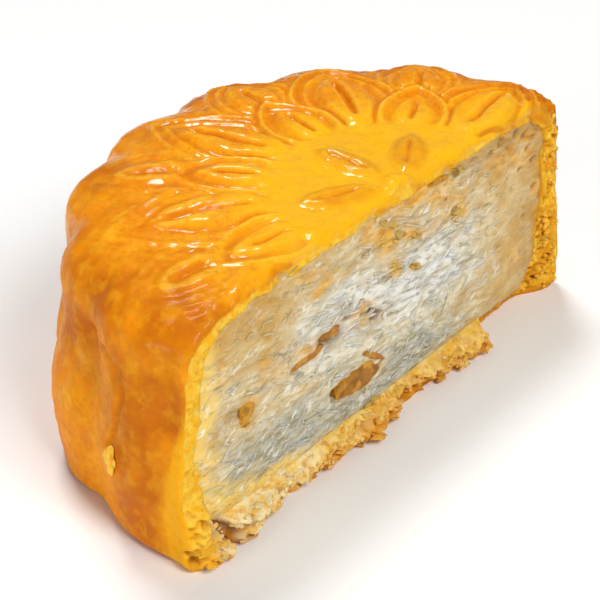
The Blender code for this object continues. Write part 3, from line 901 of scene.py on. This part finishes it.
def flake_piece(torn, count=44):
    """Thin torn flakes of the base's crust that stand out of the cut."""
    draw = np.random.default_rng(59)
    x, y, z = torn.T
    weight = ramp(-0.3, -1.2, y) * ramp(3.9, 3.2, z) * ramp(0.3, 0.6, z) * ramp(19, 16, x)
    weight *= ramp(-37, -35, x) * ramp(-2.7, -2.4, y)
    chosen = draw.choice(len(torn), count, replace=False, p=weight / weight.sum())
    parts, shades = [], []
    for spot in torn[chosen]:
        width, reach, thick = draw.uniform(0.8, 2.8), draw.uniform(0.8, 1.6), draw.uniform(0.18, 0.34)
        vertices, faces = lump_mesh(draw, (width, reach, thick), 3, 0.65)
        vertices[:, 2] += 0.12 * vertices[:, 0] ** 2 * draw.uniform(-1, 1) / max(1, width / 2)
        parts.append((turned(vertices, draw.uniform(-18, 18)) + spot + np.array([0, 0.1, 0]), faces))
        shades.append(draw.uniform())
    return clinging(parts, shades)


# Materials


class Nodes:
    """A material's node tree, with short ways to add to it. Inputs are numbers or other nodes' outputs."""

    def __init__(self, name):
        self.material = bpy.data.materials.new(name)
        self.material.use_nodes = True
        self.tree = self.material.node_tree
        self.shader = self.tree.nodes["Principled BSDF"]
        self.place = self.node("TexCoord", "Object", {})

    def link(self, source, target):
        """Feeds a socket from another node's output, or sets its number."""
        if hasattr(source, "links"):
            self.tree.links.new(source, target)
        else:
            target.default_value = source

    def node(self, kind, output, inputs, **settings):
        """Adds a node of this kind, and gives its output of this name or number."""
        made = self.tree.nodes.new("ShaderNode" + kind)
        for name, setting in settings.items():
            setattr(made, name, setting)
        for name, source in inputs.items():
            self.link(source, made.inputs[name])
        return made.outputs[output]

    def value(self, name):
        """A value that the mesh's points carry."""
        return self.node("Attribute", "Fac", {}, attribute_name=name)

    def noise(self, size, detail=3, roughness=0.55, stretch=(1, 1, 1), shift=0.0, tilt=0):
        """Noise with lumps of this size in millimetres, stretched, then tilted in the cut by degrees."""
        inputs = {"Vector": self.place, "Scale": stretch, "Location": [shift] * 3}
        inputs["Rotation"] = (0, -math.radians(tilt), 0)
        place = self.node("Mapping", "Vector", inputs, vector_type="TEXTURE")
        inputs = {"Vector": place, "Scale": 1 / (size * MM), "Detail": detail, "Roughness": roughness}
        return self.node("TexNoise", "Fac", inputs)

    def range(self, value, low, high, to_low=0.0, to_high=1.0):
        """A smooth change from to_low at low to to_high at high."""
        inputs = {"Value": value, "From Min": low, "From Max": high, "To Min": to_low, "To Max": to_high}
        return self.node("MapRange", "Result", inputs, interpolation_type="SMOOTHSTEP")

    def math(self, operation, a, b, clamp=False):
        return self.node("Math", 0, {0: a, 1: b}, operation=operation, use_clamp=clamp)

    def mix(self, share, a, b):
        """Colour a turned towards colour b by a share."""
        a, b = (colour if hasattr(colour, "links") else (*colour, 1) for colour in (a, b))
        return self.node("Mix", 2, {0: share, 6: a, 7: b}, data_type="RGBA")

    def tint(self, colour, name, strength, other):
        """A colour turned towards another, where a value of the mesh's points is high."""
        return self.mix(self.math("MULTIPLY", self.value(name), strength), colour, other)

    def bumped(self, height, strength, distance, normal=None):
        """A normal that a height bends, after another bend if one is given. distance is in millimetres."""
        inputs = {"Height": height, "Strength": strength, "Distance": distance * MM}
        if normal is not None:
            inputs["Normal"] = normal
        return self.node("Bump", "Normal", inputs)

    def set(self, **inputs):
        """Feeds the shader's own inputs."""
        for name, source in inputs.items():
            self.link(source, self.shader.inputs[name.replace("_", " ")])


def crust_material():
    n = Nodes("glazed_crust")
    mottle, fine = n.noise(5, 4), n.noise(0.8, 4, 0.7)
    colour = n.mix(n.range(mottle, 0.35, 0.7), (0.88, 0.270, 0.002), (0.94, 0.365, 0.003))
    colour = n.mix(n.value("yellow"), colour, (0.98, 0.485, 0.008))
    brown = n.math("MULTIPLY", n.value("brown"), n.range(n.noise(3.2, 4), 0.25, 0.7, 0.65, 1.25), clamp=True)
    colour = n.mix(brown, colour, (0.56, 0.140, 0.002))
    # Painted shade: the pattern's grooves turn darker and redder, together with the crust's own deeper tone
    # there.
    relief_shading = n.range(n.value("relief_shading"), 0.05, 0.9, 0.0, 0.75)
    colour = n.mix(relief_shading, colour, (0.66, 0.170, 0.002))
    # Painted highlight: the crests turn yellower, so that the highlights on them read cream.
    ridge = n.range(n.value("relief_shading"), -0.1, -0.9, 0.0, 0.45)
    colour = n.mix(ridge, colour, (1.0, 0.58, 0.045))
    fine = n.range(fine, 0.46, 0.66, 0.0, 0.50)
    fine = n.math("MULTIPLY", fine, n.range(n.value("yellow"), 0.2, 0.8, 1.0, 0.3))
    colour = n.mix(fine, colour, (0.66, 0.175, 0.002))
    light = n.range(n.noise(1.9, 4, 0.6, shift=0.6), 0.46, 0.68, 0.0, 0.28)
    colour = n.mix(light, colour, (1.0, 0.52, 0.018))
    crumb = n.mix(n.range(n.noise(1.2, 4, 0.6), 0.35, 0.65), (0.94, 0.46, 0.016), (1.0, 0.64, 0.07))
    pale = n.mix(n.range(n.noise(1.6, 4, 0.65), 0.36, 0.6), (0.98, 0.62, 0.12), (1.0, 0.88, 0.52))
    crumb = n.mix(n.value("cream"), crumb, pale)
    crumb = n.mix(n.range(n.noise(0.9, 4, 0.7, shift=0.2), 0.52, 0.68, 0.0, 0.6), crumb, (0.62, 0.24, 0.012))
    crumb = n.tint(crumb, "under", 0.85, (0.74, 0.27, 0.008))
    # Painted shade: the crumb's pits turn dark brown, and the deepest nearly black.
    crumb = n.tint(crumb, "pit_shade", 0.85, (0.42, 0.130, 0.005))
    crumb = n.mix(n.range(n.value("pit_shade"), 0.75, 1.0, 0.0, 0.8), crumb, (0.20, 0.060, 0.004))
    colour = n.mix(n.value("torn"), colour, crumb)
    glaze = n.math("MULTIPLY", n.value("glaze"), n.range(n.noise(4.5, 4, 0.6), 0.38, 0.62, 0.08, 0.80))
    glaze = n.math("MULTIPLY", glaze, n.range(n.value("torn"), 0, 0.5, 1.0, 0.0))
    roughness = n.range(n.noise(1.6, 3), 0.3, 0.7, 0.36, 0.55)
    roughness = n.math("ADD", roughness, n.math("MULTIPLY", n.value("torn"), 0.25))
    normal = n.bumped(n.noise(0.5, 4, 0.7), 0.7, 0.16)
    normal = n.bumped(n.noise(2.2, 3, 0.5), 0.25, 0.25, normal)
    n.set(Base_Color=colour, Roughness=roughness, Normal=normal, Coat_Weight=glaze)
    n.set(Coat_Roughness=0.09, Subsurface_Weight=0.10, Subsurface_Scale=0.8 * MM)
    n.set(Subsurface_Radius=(1.0, 0.45, 0.12), Specular_IOR_Level=0.05)
    return n.material


def filling_material():
    n = Nodes("coconut_filling")
    streak = n.noise(0.7, 4, 0.65, stretch=(4, 1, 1), tilt=-9)
    crossing = n.noise(0.6, 3, 0.6, stretch=(3, 1, 1), shift=0.9, tilt=28)
    blotch = n.noise(3.5, 4, 0.6, stretch=(1.8, 1, 1), shift=0.3)
    fibres = n.range(streak, 0.36, 0.62)
    colour = n.mix(fibres, (0.60, 0.46, 0.21), (0.84, 0.75, 0.49))
    white = n.mix(fibres, (0.76, 0.77, 0.70), (0.93, 0.94, 0.90))
    colour = n.tint(colour, "white", 0.9, white)
    tan = n.math("MULTIPLY", n.value("tan"), n.range(blotch, 0.3, 0.6, 0.65, 1.0))
    colour = n.mix(tan, colour, n.mix(n.range(blotch, 0.3, 0.7), (0.70, 0.46, 0.14), (0.58, 0.33, 0.075)))
    # Painted shade: the low middle of the filling turns a darker, cooler grey.
    cool_shade = n.mix(fibres, (0.27, 0.255, 0.17), (0.54, 0.53, 0.43))
    colour = n.tint(colour, "cool_shade", 0.85, cool_shade)
    colour = n.tint(colour, "gold", 0.9, (0.98, 0.66, 0.14))
    ochre = n.math("MULTIPLY", n.value("ochre"), n.range(crossing, 0.3, 0.6, 0.55, 1.0))
    colour = n.mix(ochre, colour, n.mix(fibres, (0.62, 0.27, 0.015), (0.92, 0.50, 0.06)))
    specks = n.range(n.noise(0.7, 3, 0.7, stretch=(2, 1, 1), shift=0.7), 0.56, 0.68)
    specks = n.math("MULTIPLY", specks, n.range(n.value("white"), 0, 0.7, 0.65, 0.15))
    colour = n.mix(specks, colour, (0.42, 0.23, 0.05))
    bright = n.range(crossing, 0.54, 0.68, 0.0, 0.75)
    bright = n.math("MULTIPLY", bright, n.range(n.value("tan"), 0.2, 1.0, 1.0, 0.35))
    bright = n.math("MULTIPLY", bright, n.range(n.value("ochre"), 0.1, 0.6, 1.0, 0.2))
    colour = n.mix(bright, colour, (0.94, 0.93, 0.86))
    # Painted shade in the holes and hollows, and a darker brown near the right edge and the top right.
    colour = n.tint(colour, "hole_shade_and_edge_brown", 0.8, (0.20, 0.115, 0.04))
    normal = n.bumped(streak, 0.45, 0.18)
    normal = n.bumped(crossing, 0.35, 0.10, normal)
    n.set(Base_Color=colour, Normal=normal, Roughness=n.range(blotch, 0.3, 0.7, 0.36, 0.55))
    n.set(Coat_Weight=0.12, Coat_Roughness=0.2, Subsurface_Weight=0.45, Subsurface_Scale=0.8 * MM)
    n.set(Subsurface_Radius=(1.0, 0.85, 0.6), Specular_IOR_Level=0.30)
    return n.material


def shred_material():
    n = Nodes("coconut_shreds")
    shade = n.value("shade")
    colour = n.mix(n.range(shade, 0.1, 0.95), (0.70, 0.62, 0.43), (0.92, 0.90, 0.80))
    colour = n.tint(colour, "tan", 0.9, (0.70, 0.47, 0.16))
    # Painted shade: shreds in the low middle of the filling turn a darker, cooler grey.
    colour = n.tint(colour, "cool_shade", 0.7, (0.50, 0.49, 0.40))
    colour = n.tint(colour, "gold", 0.8, (0.98, 0.68, 0.19))
    colour = n.tint(colour, "ochre", 0.95, (0.86, 0.46, 0.05))
    n.set(Base_Color=colour, Roughness=n.range(n.noise(1.0, 2), 0.3, 0.7, 0.32, 0.5))
    n.set(Normal=n.bumped(n.noise(0.3, 2, 0.5, stretch=(4, 1, 1)), 0.4, 0.06))
    n.set(Coat_Weight=0.12, Coat_Roughness=0.15, Subsurface_Weight=0.6, Subsurface_Scale=0.9 * MM)
    n.set(Subsurface_Radius=(1.0, 0.9, 0.7), Specular_IOR_Level=0.30)
    return n.material


def candied_material():
    n = Nodes("candied_bits")
    kind = n.value("kind")
    colour = n.mix(n.range(kind, 0.1, 0.3), (0.56, 0.24, 0.012), (0.42, 0.165, 0.010))
    colour = n.mix(n.range(kind, 0.4, 0.6), colour, (0.58, 0.40, 0.10))
    colour = n.mix(n.range(n.noise(1.6, 4, 0.6), 0.46, 0.62, 0.0, 0.75), colour, (0.72, 0.36, 0.03))
    dark = n.range(n.noise(1.5, 4, 0.6, shift=0.4), 0.48, 0.64, 0.0, 0.7)
    colour = n.mix(dark, colour, (0.20, 0.070, 0.008))
    n.set(Base_Color=colour, Roughness=n.range(n.noise(0.8, 3), 0.3, 0.7, 0.3, 0.5))
    n.set(Normal=n.bumped(n.noise(0.5, 3), 0.5, 0.12), Coat_Weight=0.08, Coat_Roughness=0.2)
    n.set(Specular_IOR_Level=0.12)
    return n.material


def crumb_material():
    n = Nodes("crust_crumbs")
    shade = n.value("shade")
    colour = n.mix(n.range(shade, 0.1, 0.9), (0.88, 0.38, 0.012), (0.98, 0.56, 0.05))
    pale = n.mix(n.range(shade, 0.1, 0.9), (0.93, 0.55, 0.12), (1.0, 0.80, 0.44))
    colour = n.mix(n.value("cream"), colour, pale)
    colour = n.mix(n.range(n.noise(0.8, 3, 0.6), 0.5, 0.75, 0.0, 0.7), colour, (0.60, 0.24, 0.02))
    colour = n.tint(colour, "under", 0.8, (0.62, 0.22, 0.010))
    n.set(Base_Color=colour, Roughness=n.range(n.noise(0.6, 3), 0.3, 0.7, 0.5, 0.75))
    n.set(Normal=n.bumped(n.noise(0.35, 3, 0.6), 0.6, 0.10), Specular_IOR_Level=0.25)
    n.set(Subsurface_Weight=0.25, Subsurface_Scale=0.8 * MM, Subsurface_Radius=(1.0, 0.6, 0.25))
    return n.material


# Putting it together


def add_object(name, data):
    """Puts a new object of this data in the scene."""
    made = bpy.data.objects.new(name, data)
    bpy.context.scene.collection.objects.link(made)
    return made


def make_piece(name, piece, material, nodes=()):
    """Makes an object from (vertices in millimetres, triangles, values) and puts it on the root body."""
    vertices, faces, values = piece
    mesh = bpy.data.meshes.new(name)
    mesh.from_pydata(((vertices + AXIS_PLACE) * MM).tolist(), [], faces.tolist())
    mesh.shade_smooth()
    for value_name, numbers in values.items():
        layer = mesh.attributes.new(value_name, "FLOAT", "POINT")
        layer.data.foreach_set("value", np.asarray(numbers, dtype=np.float32))
    mesh.materials.append(material)
    made = add_object(name, mesh)
    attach(made, "root")
    for node in nodes:
        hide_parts(node)


crust, torn_points = crust_piece()
make_piece("mooncake_crust", crust, crust_material(), ["crust"])
make_piece("mooncake_filling", filling_piece(), filling_material(), ["coconut_filling"])
make_piece("coconut_shreds", shred_piece(), shred_material())
make_piece("candied_bits", candied_piece(), candied_material())
crumbs = crumb_material()
make_piece("crust_crumbs", crumb_piece(torn_points), crumbs)
make_piece("crust_flakes", flake_piece(torn_points), crumbs)


# Studio


LIGHT_AIM = Vector((0, 0, 0.015))


def make_floor():
    """A pale matt floor that reaches 2 m each way."""
    mesh = bpy.data.meshes.new("studio_floor")
    mesh.from_pydata([(-2, -2, 0), (2, -2, 0), (2, 2, 0), (-2, 2, 0)], [], [(0, 1, 2, 3)])
    material = bpy.data.materials.new("studio_floor")
    material.use_nodes = True
    shader = material.node_tree.nodes["Principled BSDF"]
    shader.inputs["Base Color"].default_value = (0.95, 0.95, 0.94, 1)
    shader.inputs["Roughness"].default_value = 0.8
    mesh.materials.append(material)
    floor = add_object("studio_floor", mesh)


def make_light(name, place, size, power):
    """A square soft white light that faces the cake. place is in metres."""
    data = bpy.data.lights.new(name, "AREA")
    data.size, data.energy = size, power
    light = add_object(name, data)
    light.location = place
    light.rotation_euler = (LIGHT_AIM - light.location).to_track_quat("-Z", "Y").to_euler()


CAMERA_PLACE = Vector((-134.52, -91.09, 120.91) + AXIS_PLACE) * MM
CAMERA_AIM_AZIMUTH, CAMERA_AIM_ELEVATION, CAMERA_ROLL = -51.915, 32.989, 0.732
CAMERA_LENS = 100.06


def make_camera():
    """The photograph's viewpoint, with the half cake alone filling most of the frame."""
    a, e = math.radians(CAMERA_AIM_AZIMUTH), math.radians(CAMERA_AIM_ELEVATION)
    back = Vector((math.sin(a) * math.cos(e), -math.cos(a) * math.cos(e), math.sin(e)))
    right = (-back).cross(Vector((0, 0, 1))).normalized()
    up = right.cross(-back)
    turn = math.radians(CAMERA_ROLL)
    right, up = math.cos(turn) * right + math.sin(turn) * up, math.cos(turn) * up - math.sin(turn) * right
    data = bpy.data.cameras.new("photo_view")
    data.lens, data.sensor_width = CAMERA_LENS, 36
    data.clip_start = 0.01
    camera = add_object("photo_view", data)
    camera.matrix_world = Matrix.Translation(CAMERA_PLACE) @ Matrix((right, up, back)).transposed().to_4x4()
    bpy.context.scene.camera = camera


make_floor()
make_light("key", (-0.12, -0.55, 0.62), 0.35, 4.4)
make_light("back", (0.15, 0.30, 0.75), 0.22, 3.5)
make_light("side", (-0.76, 0.12, 0.16), 0.30, 1.9)
make_camera()

world = bpy.data.worlds.new("studio")
world.use_nodes = True
world.node_tree.nodes["Background"].inputs["Color"].default_value = (1, 1, 1, 1)
world.node_tree.nodes["Background"].inputs["Strength"].default_value = 0.14
bpy.context.scene.world = world
bpy.context.scene.view_settings.view_transform = "Standard"
